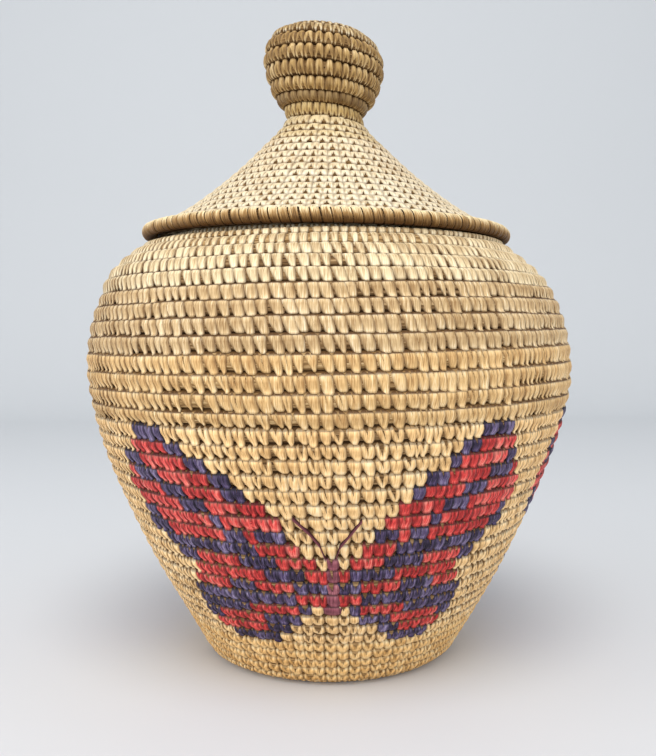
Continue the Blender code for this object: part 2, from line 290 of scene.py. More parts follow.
def add(kind, *values, **settings):
    """Adds a node, plugs the values into its live inputs in order, and returns its first live output."""
    found = [family + kind for family in FAMILIES if hasattr(bpy.types, family + kind)]
    node = bench["tree"].nodes.new(found[0])
    for name, value in settings.items():
        setattr(node, name, value)
    for socket, value in zip([s for s in node.inputs if s.enabled], values):
        if isinstance(value, Wire):
            link(value, socket)
        elif value is not None:
            socket.default_value = value
    return Wire([s for s in node.outputs if s.enabled][0])


class Wire:
    """A value inside a node tree."""

    def __init__(self, socket):
        self.socket = socket

    def first(self, kind, *others):
        return add("Math", self, *others, operation=kind)

    def second(self, kind, number):
        return add("Math", number, self, operation=kind)

    __add__, __sub__ = partialmethod(first, "ADD"), partialmethod(first, "SUBTRACT")
    __mul__, __truediv__ = partialmethod(first, "MULTIPLY"), partialmethod(first, "DIVIDE")
    __rsub__, __rtruediv__ = partialmethod(second, "SUBTRACT"), partialmethod(second, "DIVIDE")
    __pow__, __abs__ = partialmethod(first, "POWER"), partialmethod(first, "ABSOLUTE")
    __gt__, __lt__ = partialmethod(first, "GREATER_THAN"), partialmethod(first, "LESS_THAN")
    least, most = partialmethod(first, "MINIMUM"), partialmethod(first, "MAXIMUM")
    cos, sin = partialmethod(first, "COSINE"), partialmethod(first, "SINE")

    def clamped(self):
        """Kept between 0 and 1."""
        return self.most(0.0).least(1.0)

    def also(self, name):
        """Another output of the same node."""
        return Wire(self.socket.node.outputs[name])

    def parts(self):
        x = add("SeparateXYZ", self)
        return x, x.also("Y"), x.also("Z")


def vector(x, y, z):
    return add("CombineXYZ", x, y, z)


def named(*names):
    wires = [add("InputNamedAttribute", name, data_type="FLOAT") for name in names]
    return wires if len(wires) > 1 else wires[0]


def named_parts(name):
    return add("InputNamedAttribute", name, data_type="FLOAT_VECTOR").parts()


def store(geometry, name, value):
    kind = "FLOAT_VECTOR" if value.socket.type == "VECTOR" else "FLOAT"
    return add("StoreNamedAttribute", geometry, None, name, value, data_type=kind)


def floats(*labels):
    return [(label, "Float") for label in labels]


def new_tree(name, takes, gives):
    """Opens a geometry tree. Returns the wires of its named inputs, and its output socket."""
    tree = bench["tree"] = bpy.data.node_groups.new(name, "GeometryNodeTree")
    for label, kind in takes:
        tree.interface.new_socket(label, in_out="INPUT", socket_type="NodeSocket" + kind)
    tree.interface.new_socket(gives[0], in_out="OUTPUT", socket_type="NodeSocket" + gives[1])
    given = tree.nodes.new("NodeGroupInput")
    wires = {label: Wire(given.outputs[label]) for label, kind in takes}
    return wires, tree.nodes.new("NodeGroupOutput").inputs[gives[0]]


# %% [markdown]
# ## Laying a thing on the coil
#
# This group is the heart of the lesson. It takes a place as three plain numbers: the turn, the length along
# the wall's line, and the lift off the outer face. It gives back the point in space. Bundles and stitches
# are first made flat, in those three numbers, and then laid on the wall by this one group, so they always
# agree. The group also gives the wall its slight dents and the shoulder a slight swell. It lets the knob
# lean, and the whole lid sit a little askew, as the real ones do.

# %% The group that lays flat shapes on the wall
LAY_INPUTS = [("Line", "Object")] + floats(
    "Hand", "Dents", "Lean From", "Lean", "Tilt", "Shift", "Cant", "Swell")
COIL_START = math.pi / 2
DENT_SCALE = 16.0
FLAT_FOOT = 0.015
SWELL_AT, SWELL_OVER, SWELL_LEFT = 0.1755, 0.0125, 0.7


def lay_group():
    given, out = new_tree("lay on the coil", LAY_INPUTS + floats("Turn", "Along", "Lift"),
                          ("Position", "Vector"))
    line = add("ObjectInfo", given["Line"]).also("Geometry")
    near = add("SampleCurve", line, None, given["Along"], mode="LENGTH")
    r, _, z = near.also("Position").parts()
    tr, _, tz = near.also("Tangent").parts()
    angle = given["Turn"] * FULL_TURN + COIL_START
    cos, sin = angle.cos(), angle.sin()
    dent = add("TexNoise", vector(r * cos, r * sin, z), DENT_SCALE, 1.0)
    off = (z - SWELL_AT) / SWELL_OVER
    swell = (1.0 - off * off).most(0.0) * given["Swell"] * (1.0 - cos * SWELL_LEFT)
    lift = given["Lift"] + (dent - 0.5) * given["Dents"] * (z / FLAT_FOOT).clamped() + swell
    radius = r + given["Hand"] * tz * lift
    height = z - given["Hand"] * tr * lift
    over = (height - given["Lean From"]).most(0.0)
    x = radius * cos
    height = height - x * given["Tilt"] * over * over - x * given["Cant"]
    place = vector(x + given["Lean"] * over + given["Shift"], radius * sin, height)
    link(place, out)
    return bench["tree"]


lay = lay_group()
print("nodes in the laying group:", len(lay.nodes))


# %% What all trees that make a piece share
def piece_tree(name, takes):
    """Geometry, how the coil lies and a material go in, and geometry comes out."""
    given = [("Geometry", "Geometry")] + LAY_INPUTS + takes + [("Material", "Material")]
    return new_tree(name, given, ("Geometry", "Geometry"))


def laid(given, made, turn, along, lift):
    """Moves every corner to its place on the coil."""
    place = add("Group", *[given[label] for label, _ in LAY_INPUTS], turn, along, lift, node_tree=lay)
    return add("SetPosition", made, None, place)


def closed(given, out, made):
    """Ends a tree with real mesh, smooth faces and the material."""
    made = add("RealizeInstances", made)
    made = add("SetShadeSmooth", made)
    made = add("SetMaterial", made, None, given["Material"])
    link(made, out)
    return bench["tree"]


def on_points(points, collection, pick):
    """One thing from a collection on each point, as real mesh."""
    kinds = add("CollectionInfo", collection, True, True)
    made = add("InstanceOnPoints", points, None, kinds, True, pick)
    return add("RealizeInstances", made)


# %% [markdown]
# ## The section of a bundle
#
# A wound bundle is pressed by its stitches, so its section is a rounded box, not a circle. One formula, a
# superellipse, gives it. The stitches use the same formula, so that they lie on the bundle.

# %% Section of the bundle
SQUARENESS, ROUNDER = 2.2, 2.1
# half a course and a little more, so that two courses meet
BUNDLE_REACH = 0.51
# where the shade in the valley begins, and over how much of the section it deepens
UPPER_SHADE, LOWER_SHADE = (0.58, 0.14), (0.80, 0.12)


def squared(given, *values):
    """A place on a circle pushed out to the rounded box."""
    power = 2.0 / given["Squareness"]
    return [value.first("SIGN") * abs(value) ** power for value in values]


def section_depth(along, half, squareness):
    """How deep the bundle's surface lies under the outer face, at a share of the course's height."""
    off = abs(along.least(1.0).first("FRACT") * 2.0 - 1.0)
    bulge = (1.0 - (off ** squareness).least(1.0)) ** (1.0 / squareness)
    return (1.0 - bulge) * half


def bundle_tree():
    given, out = piece_tree("wind the bundle", floats("Wall", "Squareness") + [("Sides", "Int")])
    ring = add("CurvePrimitiveCircle", given["Sides"], 1.0)
    ring = store(ring, "section", add("InputPosition"))
    path = add("MeshToCurve", given["Geometry"])
    tube = add("CurveToMesh", path, ring, 1.0, True)
    u, v, _ = named_parts("section")
    u, v = squared(given, u, v)
    turn, low, high, girth, raised = named("turn", "low", "high", "girth", "raised")
    tube = store(tube, "fibre", vector(turn * girth, u * given["Wall"], v * given["Wall"]))
    # painted shade: darker towards the valleys between two courses
    shade = ((u - UPPER_SHADE[0]) / UPPER_SHADE[1]).most((u * -1.0 - LOWER_SHADE[0]) / LOWER_SHADE[1])
    tube = store(tube, "edge", shade.clamped())
    along = low + (high - low) * (u * BUNDLE_REACH + 0.5)
    lift = (v - 1.0) * given["Wall"] * 0.5 + raised
    return closed(given, out, laid(given, tube, turn, along, lift))


wind = bundle_tree()
print("nodes in the winding tree:", len(wind.nodes))

# %% [markdown]
# ## One stitch
#
# Seen from outside, a stitch is a flat strand over its own course. It rises from a hole in the course before
# it, so it starts as a narrow tip. At its far side the next course's stitch goes through it and parts it
# into two legs. The stitch is drawn once as two mirrored legs, with a few dozen faces. Each corner keeps how
# far the tip narrows it, the notch parts it and the shoulder rounds it. The tree can then make a blunt
# stitch or a forked one out of the same mesh. No two stitches are parted alike, so each region of the
# basket has a few kinds to pick from.

# %% The plain stitch, as a mesh that carries its own plan
STITCH_PLAN = [
    # share of the way up, narrowing, rounding, rise, painted shade at the edge, painted highlight
    (0.00, 1.00, 0.60, -0.70, 1.00, 0.2),
    (0.03, 0.97, 0.38, 1.60, 0.35, 0.4),
    (0.12, 0.88, 0.15, 1.75, 0.0, 0.5),
    (0.30, 0.66, 0.03, 1.40, 0.0, 0.2),
    (0.54, 0.34, 0.0, 1.10, 0.0, 0.0),
    (0.74, 0.08, 0.08, 1.05, 0.0, 0.4),
    (0.81, 0.0, 0.19, 1.00, 0.0, 1.0),
    (0.87, 0.0, 0.33, 0.75, 0.0, 1.0),
    (0.93, 0.0, 0.46, 0.40, 0.0, 0.0),
    (1.00, 0.0, 0.56, 0.20, 1.00, 0.0),
]
# share of the way across a leg, rise, painted shade at the edge
LEG_PLAN = [(0.0, 1.12, 0.0), (0.42, 1.0, 0.0), (0.81, 0.64, 0.55), (1.0, -0.6, 1.0)]
# how far the legs are parted at each step of the plan
NOTCHES = {
    "outer": {"shallow": [0, 0, 0, 0, 0, 0.40, 0.55, 0.68, 0.85, 1],
              "middling": [0, 0, 0, 0, 0.22, 0.60, 0.70, 0.80, 0.90, 1],
              "deep": [0, 0, 0, 0.12, 0.46, 0.74, 0.82, 0.88, 0.94, 1],
              "closed": [0, 0, 0, 0, 0, 0, 0.08, 0.16, 0.3, 0.5]},
    "knob": {"petal": [0, 0, 0, 0, 0.05, 0.40, 0.58, 0.74, 0.88, 1],
             "small petal": [0, 0, 0, 0, 0.15, 0.55, 0.70, 0.80, 0.90, 1]},
    "cone": {"small": [0, 0, 0, 0, 0.12, 0.52, 0.65, 0.77, 0.88, 1],
             "smaller": [0, 0, 0, 0, 0, 0.36, 0.54, 0.70, 0.85, 1]},
}
INNER_ROWS, INNER_COLUMNS = [0, 3, 5, 9], [0, 2, 3]


def put(mesh, name, values):
    """Writes an attribute on the corners of a mesh, one number or three for each."""
    values = np.array(values, np.float32)
    kind, key = ("FLOAT_VECTOR", "vector") if values.ndim == 2 else ("FLOAT", "value")
    mesh.attributes.new(name, kind, "POINT").data.foreach_set(key, values.ravel())


def plan_mesh(name, faces, corners, *labels):
    """A mesh whose corners carry their plan, a column for each label. The trees give them their places."""
    columns = list(zip(*corners))
    mesh = bpy.data.meshes.new(name)
    mesh.from_pydata(columns[0], [], faces)
    for label, values in zip(labels, columns):
        put(mesh, label, values)
    return mesh


def stitch_mesh(name, notch, rows, columns):
    """Two legs of a stitch."""
    corners, faces, wide = [], [], len(columns)
    for side in (-1, 1):
        first = len(corners)
        for j in rows:
            up, narrow, rounding, rise, shade, crown = STITCH_PLAN[j]
            for share, leg_rise, leg_shade in [LEG_PLAN[c] for c in columns]:
                corners.append(((side, share, up), (narrow, notch[j], rounding), leg_rise + rise - 1,
                                max(leg_shade, shade), crown))
        for j in range(len(rows) - 1):
            for a in range(first + j * wide, first + (j + 1) * wide - 1):
                face = [a, a + 1, a + 1 + wide, a + wide]
                faces.append(face if side > 0 else face[::-1])
    return plan_mesh(name, faces, corners, "leg", "shape", "rise", "edge", "crown")


def shelf(name, meshes):
    """A collection that only the trees see."""
    collection = bpy.data.collections.new(name)
    for mesh in meshes:
        collection.objects.link(bpy.data.objects.new(mesh.name, mesh))
    return collection


all_rows, all_columns = range(len(STITCH_PLAN)), range(len(LEG_PLAN))
shelves = {kind: shelf(kind + " stitches", [stitch_mesh(name, notch, all_rows, all_columns)
                                            for name, notch in notches.items()])
           for kind, notches in NOTCHES.items()}
shelves["inner"] = shelf("inner stitches", [stitch_mesh(name + " inner", notch, INNER_ROWS, INNER_COLUMNS)
                                            for name, notch in NOTCHES["outer"].items()])

# %% [markdown]
# ## Sewing
#
# The tree sets one stitch on each point, gives each its own small differences from a fixed seed, and lays it
# on the coil. The same strand shows again on the inner face, drawn there with fewer faces. A strand bridges
# the valley between two courses a little, so its depth is held above a limit on the near side. Here and
# there a noise over the whole wall leaves the stitches thinner, as where a maker hurries.

# %% The tree that sews
SEW_INPUTS = floats("Wall", "Squareness", "Roundness", "Taper", "Notch", "Overlap", "Slant", "Uneven",
                    "Strand", "Bridge", "Row Shade")
# a pick runs over four kinds of stitch, and starts again on a shelf with two
KINDS = 4
# how soon the crease is full, how deep it sinks, and how dark its painted shade is
CREASE, CREASE_DEPTH, CREASE_SHADE = 6.0, 0.6, 0.9
LOOSE_AROUND, LOOSE_ALONG = 5.0, 60.0
LOOSE_FROM, LOOSE_GAIN, LOOSE_LEAST = 0.38, 6.0, 0.25
# where the painted shadow under the tips of the next course begins, and over how much it deepens
SHADE_FROM, SHADE_OVER = 0.15, 0.08
ODD = {"taper": (-0.35, 0.35), "notch": (-0.7, 0.6), "slant": (-0.11, 0.11), "tone": (0.0, 1.0),
       "tilt": (-0.15, 0.75), "reach": (-0.45, 0.75)}


def chance(between, seed, step):
    """A random number for each stitch."""
    return add("RandomValue", *between, None, seed + step, data_type="FLOAT")


def sewn_side(given, points, shelf_of, side):
    pick = add("RandomValue", 0, KINDS - 1, None, given["Seed"] + 7, data_type="INT")
    made = on_points(points, given[shelf_of], pick)
    which, share, up = named_parts("leg")
    narrow, part, rounding = named_parts("shape")
    odd_taper, odd_notch, odd_slant = named_parts("odd")
    low, high, width, girth, reach, tilt, rise, edge, tone, turn = named(
        "low", "high", "width", "girth", "reach", "tilt", "rise", "edge", "tone", "turn")
    notch = part * given["Notch"] * odd_notch
    rise = rise + which * share * tilt
    parted = (share < 0.01) * (notch * CREASE).least(1.0)
    rise = rise - parted * (rise + CREASE_DEPTH)
    course = high - low
    outer = (1.0 - narrow * given["Taper"] * odd_taper) * (1.0 - rounding * given["Roundness"]) * 0.5
    inner = notch * 0.5
    across = which * (inner + (outer - inner) * share)
    across = across + (given["Slant"] + odd_slant) * (1.0 - up)
    reach = given["Overlap"] * reach
    along = up * (reach + 1.0) - reach
    half = given["Wall"] * 0.5
    limit = given["Bridge"] + (along > 0.5)
    depth = section_depth(along, half, given["Squareness"]).least(limit)
    lift = (half - depth + rise * given["Strand"]) * float(side) - half
    made = store(made, "strand", vector(across * width, along * course, tone * 0.5))
    # painted shadow under the tips of the next course, and painted shade at the edges and in the crease
    under = (along + given["Overlap"] - (1.0 - SHADE_FROM)) / SHADE_OVER
    under = under.least(1.0) * given["Row Shade"]
    made = store(made, "edge", (edge + parted * CREASE_SHADE).most(under).clamped())
    made = laid(given, made, turn + across * width / girth, low + course * along, lift)
    turned = given["Hand"] * float(side) < 0.0
    return add("Switch", turned, made, add("FlipFaces", made), input_type="GEOMETRY")


def sewing_tree():
    given, out = piece_tree("sew", SEW_INPUTS + [
        ("Seed", "Int"), ("Outer Stitches", "Collection"), ("Inner Stitches", "Collection")])
    uneven = given["Uneven"]
    turn, low = named("turn", "low")
    angle = turn * FULL_TURN
    where = vector(angle.cos() * LOOSE_AROUND, angle.sin() * LOOSE_AROUND, low * LOOSE_ALONG)
    loose = ((add("TexNoise", where, 1.0, 1.0) - LOOSE_FROM) * LOOSE_GAIN).most(LOOSE_LEAST)
    loose = (loose - 1.0) * uneven + 1.0
    odd = {name: chance(between, given["Seed"], k + 1) for k, (name, between) in enumerate(ODD.items())}
    points = store(given["Geometry"], "odd", vector(
        loose * (odd["taper"] * uneven + 1.0), odd["notch"] * uneven + 1.0, odd["slant"] * uneven))
    points = store(points, "tone", odd["tone"])
    points = store(points, "tilt", odd["tilt"] * uneven)
    points = store(points, "reach", odd["reach"] * uneven + 1.0)
    both = add("JoinGeometry")
    for side, shelf_of in ((-1, "Inner Stitches"), (1, "Outer Stitches")):
        link(sewn_side(given, points, shelf_of, side), both.socket.node.inputs[0])
    return closed(given, out, both)


sew = sewing_tree()
print("nodes in the sewing tree:", len(sew.nodes))

# %% [markdown]
# ## Running a tree
#
# A tree's result is kept as a plain mesh. The helpers write the numbers that a tree reads on the corners of
# a bare mesh, set the modifier's inputs by their identifiers, and take the evaluated mesh over.

# %% From numbers to a piece
LAY_BASKET = {"Hand": 1.0, "Dents": 0.0016, "Lean From": 0.125, "Lean": -0.020, "Tilt": 0.0, "Shift": 0.0,
              "Cant": 0.0, "Swell": 0.0016}
LAY_LID = {"Hand": -1.0, "Dents": 0.0012, "Lean From": BRIM, "Lean": -0.010, "Tilt": 8.5, "Shift": -0.0010,
           "Cant": 0.015, "Swell": 0.0}
KEPT_ATTRIBUTES = {"strand", "edge", "tone", "crown", "fibre"}


def in_scene(name, data):
    thing = bpy.data.objects.new(name, data)
    bpy.context.scene.collection.objects.link(thing)
    return thing


def line_object(name, profile):
    """The side view as a curve that the laying group measures."""
    curve = bpy.data.curves.new(name, "CURVE")
    curve.dimensions = "3D"
    spline = curve.splines.new("POLY")
    spline.points.add(len(profile.points) - 1)
    for point, (r, z) in zip(spline.points, profile.points):
        point.co = (r, 0.0, z, 1.0)
    return in_scene(name, curve)


def number_mesh(numbers, joined):
    """A mesh whose corners carry the numbers by name. joined makes them one open path."""
    count = len(numbers["turn"])
    mesh = bpy.data.meshes.new("numbers")
    mesh.from_pydata([(k * 0.01, 0.0, 0.0) for k in range(count)],
                     [(k, k + 1) for k in range(count - 1)] if joined else [], [])
    for name, values in numbers.items():
        put(mesh, name, values)
    return mesh


def run_tree(tree, name, body, numbers, joined, inputs):
    """Runs a tree on the numbers and keeps the result as a plain mesh that rides on a body."""
    source = in_scene(name + "_source", number_mesh(numbers, joined))
    modifier = source.modifiers.new("tree", "NODES")
    modifier.node_group = tree
    for item in tree.interface.items_tree:
        if item.in_out == "INPUT" and item.name in inputs:
            modifier[item.identifier] = inputs[item.name]
    graph = bpy.context.evaluated_depsgraph_get()
    mesh = bpy.data.meshes.new_from_object(source.evaluated_get(graph), preserve_all_data_layers=True,
                                           depsgraph=graph)
    source.modifiers.remove(modifier)
    bpy.data.objects.remove(source)
    spare = [a.name for a in mesh.attributes if a.domain == "POINT" and not (a.is_internal or a.is_required)]
    for label in set(spare) - KEPT_ATTRIBUTES:
        mesh.attributes.remove(mesh.attributes[label])
    mesh.name = name
    piece = in_scene(name, mesh)
    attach(piece, body)
    return piece


basket_curve = line_object("basket_line", basket_line)
lid_curve = line_object("lid_line", lid_line)
print("curves for the laying group:", basket_curve.name, lid_curve.name)

# %% [markdown]
# ## Straw and dyed straw
#
# One recipe serves every strand. A strand is a leaf: it has fine ribs along its length, and no two leaves
# have the same tone. The ribs come from a noise stretched along the strand's own coordinates, the tone from
# the number that each stitch carries. The sunk edges, the parted crease and the line under the tips of the
# course above are painted darker, as painted shade, and the top of each stitch is painted lighter, as a
# painted highlight. The knob's side and underside are painted darker, as painted shade; the knob, the cone,
# the shoulder and the belly each have their own three tones.

# %% The strand finish
RIBS, FINE_RIBS = (1500.0, 110.0, 60.0), (4300.0, 190.0, 90.0)
PATCH_SCALE, BLOTCH_SCALE, BLOTCHES = 22.0, 160.0, 0.15
CROWN_LIGHT, MEAN_TONE = 0.34, 0.38
WIDE_GAIN, FINE_GAIN, EDGE_SHADE, GRASS_SHADE = 0.8, 1.3, 0.97, 0.92
# strength and distance
STRAND_BUMP, GRASS_BUMP = (0.5, 0.00035), (0.8, 0.0004)
STEMS, GRASS_PATCHES = (60.0, 900.0, 900.0), (150.0, 300.0, 300.0)
STRAND_STOPS, GRASS_STOPS = (0.18, 0.5, 0.85), (0.2, 0.5, 0.85)


def new_material(name, roughness, specular=0.22):
    material = bpy.data.materials.new(name)
    material.use_nodes = True
    bench["tree"] = material.node_tree
    shader = material.node_tree.nodes["Principled BSDF"]
    shader.inputs["Roughness"].default_value = roughness
    shader.inputs["Specular IOR Level"].default_value = specular
    return material, shader


def noise(place, scale, detail, roughness=0.5):
    return add("TexNoise", place, scale, detail, roughness)


def stretched_noise(place, scales, roughness=0.6):
    """A noise with a scale of its own for each direction."""
    return noise(vector(*[p * s for p, s in zip(place.parts(), scales)]), 1.0, 2.0, roughness)


def attribute(name, output="Fac"):
    return add("Attribute", attribute_name=name).also(output)


def ramp(value, places, colours):
    made = add("ValToRGB", value)
    elements = made.socket.node.color_ramp.elements
    while len(elements) < len(places):
        elements.new(0.5)
    for element, place, colour in zip(elements, places, colours):
        element.position = place
        element.color = (*colour, 1.0)
    return made


def plug(wire, shader, name):
    link(wire, shader.inputs[name])


def coloured(shader, value, stops, tones, shade, edge_colour):
    """The tones along a value, and the edge's colour where painted shade darkens it."""
    colour = add("MixRGB", shade, ramp(value, stops, tones), (*edge_colour, 1.0))
    plug(colour, shader, "Base Color")


def strand_material(name, dark, middle, pale, edge_colour=(0.085, 0.036, 0.010), ribs=0.8, variety=0.2,
                    patches=0.3, darkening=1.1):
    material, shader = new_material(name, 0.5)
    strand, tone = attribute("strand", "Vector"), attribute("tone")
    wide, fine = stretched_noise(strand, RIBS), stretched_noise(strand, FINE_RIBS)
    where = add("TexCoord").also("Object")
    patch = noise(where, PATCH_SCALE, 3.0, 0.6)
    blotch = noise(where, BLOTCH_SCALE, 2.0)
    value = (wide - 0.5) * (ribs * WIDE_GAIN) + (fine - 0.5) * (ribs * FINE_GAIN) + (tone - 0.5) * variety
    value = value + (patch - 0.5) * patches + (blotch - 0.5) * BLOTCHES
    # painted highlight: lighter where the painted light value is set
    value = value + attribute("crown") * CROWN_LIGHT + MEAN_TONE
    # painted shade: the edge value darkens the strand towards the edge colour
    coloured(shader, value, STRAND_STOPS, (dark, middle, pale),
             attribute("edge") ** darkening * EDGE_SHADE, edge_colour)
    plug((fine - 0.5) * 0.25 + (wide - 0.5) * 0.15 + 0.5, shader, "Roughness")
    plug(add("Bump", *STRAND_BUMP, None, wide * 0.6 + fine * 0.5), shader, "Normal")
    return material


def bundle_material(name, dark, middle, pale):
    """Loose grass stems side by side, seen between the stitches."""
    material, shader = new_material(name, 0.75, 0.08)
    fibre = attribute("fibre", "Vector")
    stems = stretched_noise(fibre, STEMS)
    patch = stretched_noise(fibre, GRASS_PATCHES, 0.5)
    value = (stems - 0.5) * 1.5 + (patch - 0.5) * 0.6 + 0.5
    # painted shade: darker towards the valleys, by the edge value
    coloured(shader, value, GRASS_STOPS, (dark, middle, pale), attribute("edge") * GRASS_SHADE, dark)
    plug(add("Bump", *GRASS_BUMP, None, stems), shader, "Normal")
    return material


# %% The tones of every strand and bundle: dark, middle and pale, and what differs from a usual strand
PALE_CONE = {"ribs": 0.6, "variety": 0.08, "patches": 0.35}
STRAWS = {
    "wall": ((0.52, 0.295, 0.108), (0.94, 0.625, 0.29), (0.98, 0.85, 0.57), {"variety": 0.14}),
    "belly": ((0.38, 0.202, 0.068), (0.715, 0.47, 0.205), (0.94, 0.78, 0.50), {"variety": 0.14}),
    "shoulder": ((0.29, 0.165, 0.062), (0.59, 0.415, 0.210), (0.93, 0.80, 0.56), {"variety": 0.12}),
    "mouth": ((0.37, 0.235, 0.105), (0.74, 0.590, 0.350), (0.96, 0.87, 0.65), {"variety": 0.14}),
    "base": ((0.48, 0.25, 0.070), (0.89, 0.555, 0.220), (0.97, 0.78, 0.44), {"variety": 0.22}),
    "knob": ((0.21, 0.125, 0.045), (0.48, 0.335, 0.150), (0.90, 0.78, 0.53), {"variety": 0.25}),
    # the knob's side and underside, painted darker than the knob, as painted shade
    "knob_side": ((0.17, 0.092, 0.026), (0.41, 0.255, 0.088), (0.80, 0.62, 0.34), {"variety": 0.22}),
    "knob_under": ((0.11, 0.060, 0.018), (0.25, 0.155, 0.058), (0.54, 0.39, 0.18), {"variety": 0.15}),
    "neck": ((0.25, 0.140, 0.038), (0.49, 0.33, 0.12), (0.80, 0.64, 0.35), {"variety": 0.10}),
    "cone_top": ((0.41, 0.28, 0.120), (0.70, 0.55, 0.31), (0.89, 0.78, 0.54), PALE_CONE),
    "cone_middle": ((0.47, 0.32, 0.165), (0.78, 0.645, 0.425), (0.93, 0.84, 0.63), PALE_CONE),
    "lid": ((0.52, 0.37, 0.195), (0.83, 0.715, 0.495), (0.95, 0.88, 0.70), PALE_CONE),
    "brim": ((0.10, 0.046, 0.011), (0.34, 0.190, 0.061), (0.90, 0.74, 0.44), {"variety": 0.10}),
    "red": ((0.28, 0.013, 0.012), (0.78, 0.066, 0.058), (0.97, 0.34, 0.26),
            {"edge_colour": (0.055, 0.005, 0.006), "ribs": 0.9, "variety": 0.3, "darkening": 0.5}),
    "purple": ((0.014, 0.009, 0.024), (0.102, 0.070, 0.162), (0.36, 0.30, 0.46),
               {"edge_colour": (0.006, 0.004, 0.010), "ribs": 1.0, "variety": 0.3, "darkening": 0.5}),
    "plum": ((0.10, 0.022, 0.034), (0.29, 0.085, 0.11), (0.60, 0.25, 0.28),
             {"edge_colour": (0.035, 0.008, 0.012), "ribs": 0.7}),
}
# the shaded, dark and deep bundles are darker copies of the grass, as painted shade where the gaps between
# stitches lie in shadow
GRASSES = {
    "grass": ((0.095, 0.045, 0.014), (0.36, 0.22, 0.092), (0.64, 0.46, 0.24)),
    "shaded": ((0.060, 0.030, 0.012), (0.20, 0.115, 0.048), (0.42, 0.28, 0.14)),
    "dark": ((0.035, 0.016, 0.005), (0.13, 0.07, 0.025), (0.34, 0.21, 0.09)),
    "deep": ((0.012, 0.006, 0.002), (0.045, 0.023, 0.008), (0.13, 0.075, 0.032)),
}
straws = {name: strand_material(name + "_straw", *tones, **more) for name, (*tones, more) in STRAWS.items()}
grasses = {name: bundle_material(name + "_bundle", *tones) for name, tones in GRASSES.items()}
print("finishes:", sorted(straws), sorted(grasses))

# %% [markdown]
# ## Where the stitches go
#
# A maker splits the stitch below with each new one, so the stitches stand in columns. Where a course is wider
# than the last one, an extra stitch goes in; where it is narrower, one is left out. The rule below walks the
# whole coil in that way.

# %% Counting the stitches
Sewing = namedtuple("Sewing", "pitch taper notch overlap slant uneven spread straw")
SEWING = {name + "_coil": Sewing(*numbers) for name, numbers in {
    "base": (0.0044, 0.40, 0.20, 0.10, 0.12, 1.0, 1.08, "base"),
    "foot": (0.0039, 0.16, 0.42, 0.12, 0.10, 0.6, 1.16, "base"),
    "lower_wall": (0.0038, 0.16, 0.42, 0.12, 0.14, 0.6, 1.16, "base"),
    "figure_lower": (0.0037, 0.20, 0.38, 0.13, 0.16, 0.7, 1.14, "wall"),
    "figure_middle": (0.0037, 0.22, 0.32, 0.13, 0.18, 0.8, 1.13, "wall"),
    "figure_upper": (0.0038, 0.34, 0.18, 0.15, 0.26, 0.9, 1.18, "wall"),
    "belly": (0.0043, 0.40, 0.08, 0.15, 0.34, 1.0, 1.22, "belly"),
    "shoulder": (0.0042, 0.36, 0.02, 0.15, 0.42, 1.0, 1.22, "shoulder"),
    "mouth": (0.0041, 0.34, 0.02, 0.14, 0.40, 0.8, 1.22, "mouth"),
    "rim": (0.0041, 0.38, 0.02, 0.08, 0.10, 0.6, 1.08, "mouth"),
    "knob_top": (0.0040, 0.22, 0.50, 0.08, 0.06, 0.5, 1.10, "knob"),
    "knob_side": (0.0039, 0.22, 0.52, 0.08, 0.06, 0.5, 1.10, "knob_side"),
    "neck": (0.0036, 0.10, 0.44, 0.08, 0.06, 0.4, 1.15, "neck"),
    "upper_cone": (0.0042, 0.04, 0.39, 0.08, 0.10, 0.45, 1.22, "cone_middle"),
    "lower_cone": (0.0044, 0.04, 0.39, 0.08, 0.10, 0.45, 1.22, "lid"),
    "cone_edge": (0.0044, 0.04, 0.34, 0.08, 0.10, 0.45, 1.22, "lid")}.items()}
FIRST_STITCH = 0.12
BASKET_SEED, LID_SEED = 31, 32
# how far a gap goes back to the even pitch, and how unsteady the hand is
EVENING, UNSTEADY = 0.22, 0.045
# in pitches: when the walk passes a stitch below, sets two in a gap, or starts a gap anew
PASS, DOUBLE, ANEW = 0.62, 1.5, 2.6
# degrees right of the front, and how wide the stitches are there
FINENESS = [(-180, 1.0), (-45, 0.93), (-5, 1.12), (48, 0.80), (100, 0.90), (180, 1.0)]


def line_at(points, place):
    """The height at a place on a line through (place, height) points."""
    return float(np.interp(place, [p[0] for p in points], [p[1] for p in points]))


def sewn_turns(coil, found, fineness, seed):
    """The turns at which the strand goes through, from the start of a coil to its end."""
    odd = np.random.default_rng(seed)
    turns, parent = [FIRST_STITCH], 0
    while turns[-1] < coil.turns + 0.9:
        here = turns[-1]
        name = next((name for name, (_, last) in found.items() if here < last), list(found)[-1])
        step = SEWING[name].pitch * line_at(fineness, here % 1 * 360 - 180) / float(coil.girth(here))
        while parent < len(turns) - 1 and turns[parent] + 1 < here + PASS * step:
            parent += 1
        gap = turns[parent] + 1 - here
        if gap > DOUBLE * step:
            gap = gap / 2 if gap < ANEW * step else step
        turns.append(here + gap + (step - gap) * EVENING + odd.normal(0, UNSTEADY) * step)
    return np.array(turns[:-1])


basket_turns = sewn_turns(basket_coil, BASKET_STRETCHES, FINENESS, BASKET_SEED)
lid_turns = sewn_turns(lid_coil, LID_STRETCHES, [(0, 1.0)], LID_SEED)
print("stitches: basket", len(basket_turns), "lid", len(lid_turns))

# %% [markdown]
# ## The butterflies
#
# The figure is a common ornament of coiled baskets. It is not painted: where it comes, the maker changes to a
# dyed strand. So it is drawn here by course and by angle, as a maker counts it. Each wing's two edges are
# lines through a few counted points, and the purple parts are bands between two angles over a few courses.
# The figure is mirrored, and it comes three times round the wall. Its body is one stitch wide, so the
# stitches near it are moved a little, until one stands on the middle line.

